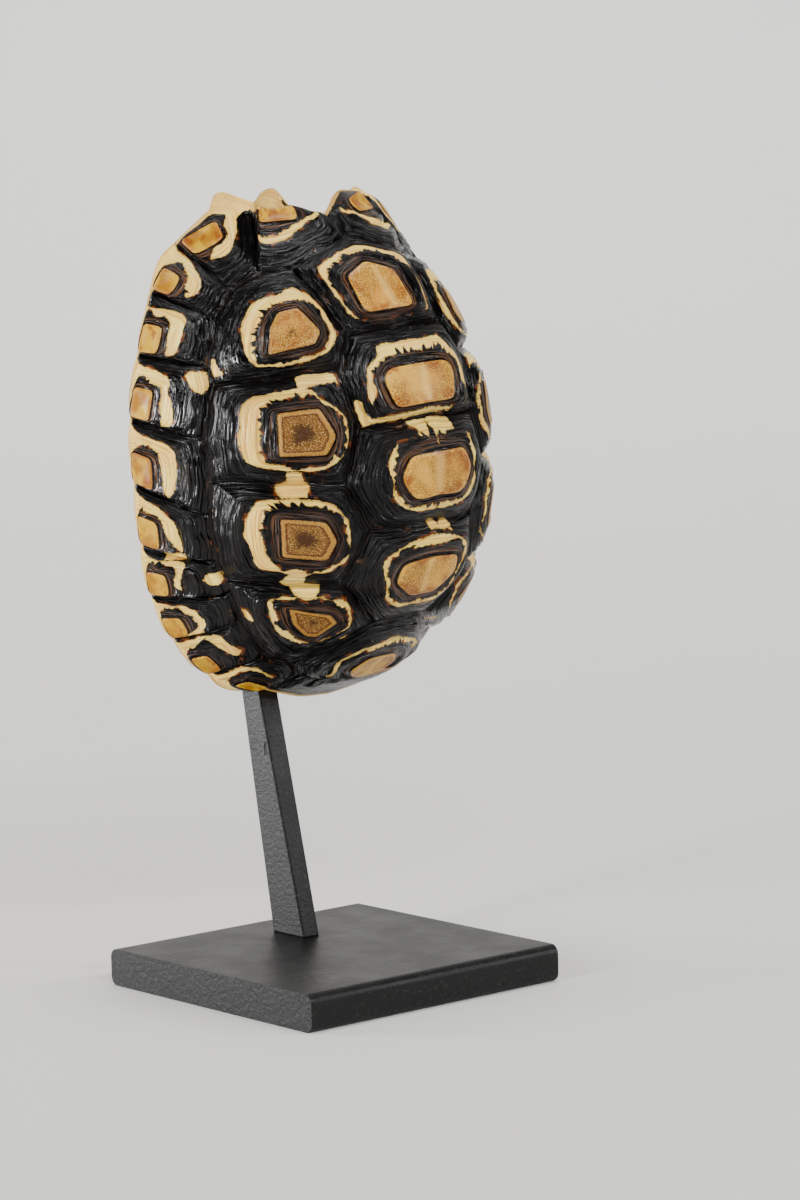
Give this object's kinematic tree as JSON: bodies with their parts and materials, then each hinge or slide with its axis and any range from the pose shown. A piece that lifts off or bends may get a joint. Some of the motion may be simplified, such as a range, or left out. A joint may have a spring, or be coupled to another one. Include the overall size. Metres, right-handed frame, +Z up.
{
  "type": "tortoise shell on a stand",
  "caption": "Domed carapace of a young tortoise with raised, ringed scutes, held upright and tilted on a square steel base by a leaning flat bar.",
  "frame": {"origin": "centre of the base plate's underside", "axes": "+Z up; the shell's domed outer side faces -Y and its open belly side +Y; its head end is up; +X is the animal's right"},
  "size_m": [0.0902, 0.067, 0.1648],
  "materials": {
    "blackened_steel": "satin black on bar stock, fine pitted grain",
    "keratin": "semi-gloss ringed horn, black and pale yellow, over cream bone"
  },
  "bodies": {
    "root": {"base_plate": "blackened_steel", "post": "blackened_steel", "shell": "keratin"}
  },
  "joints": []
}
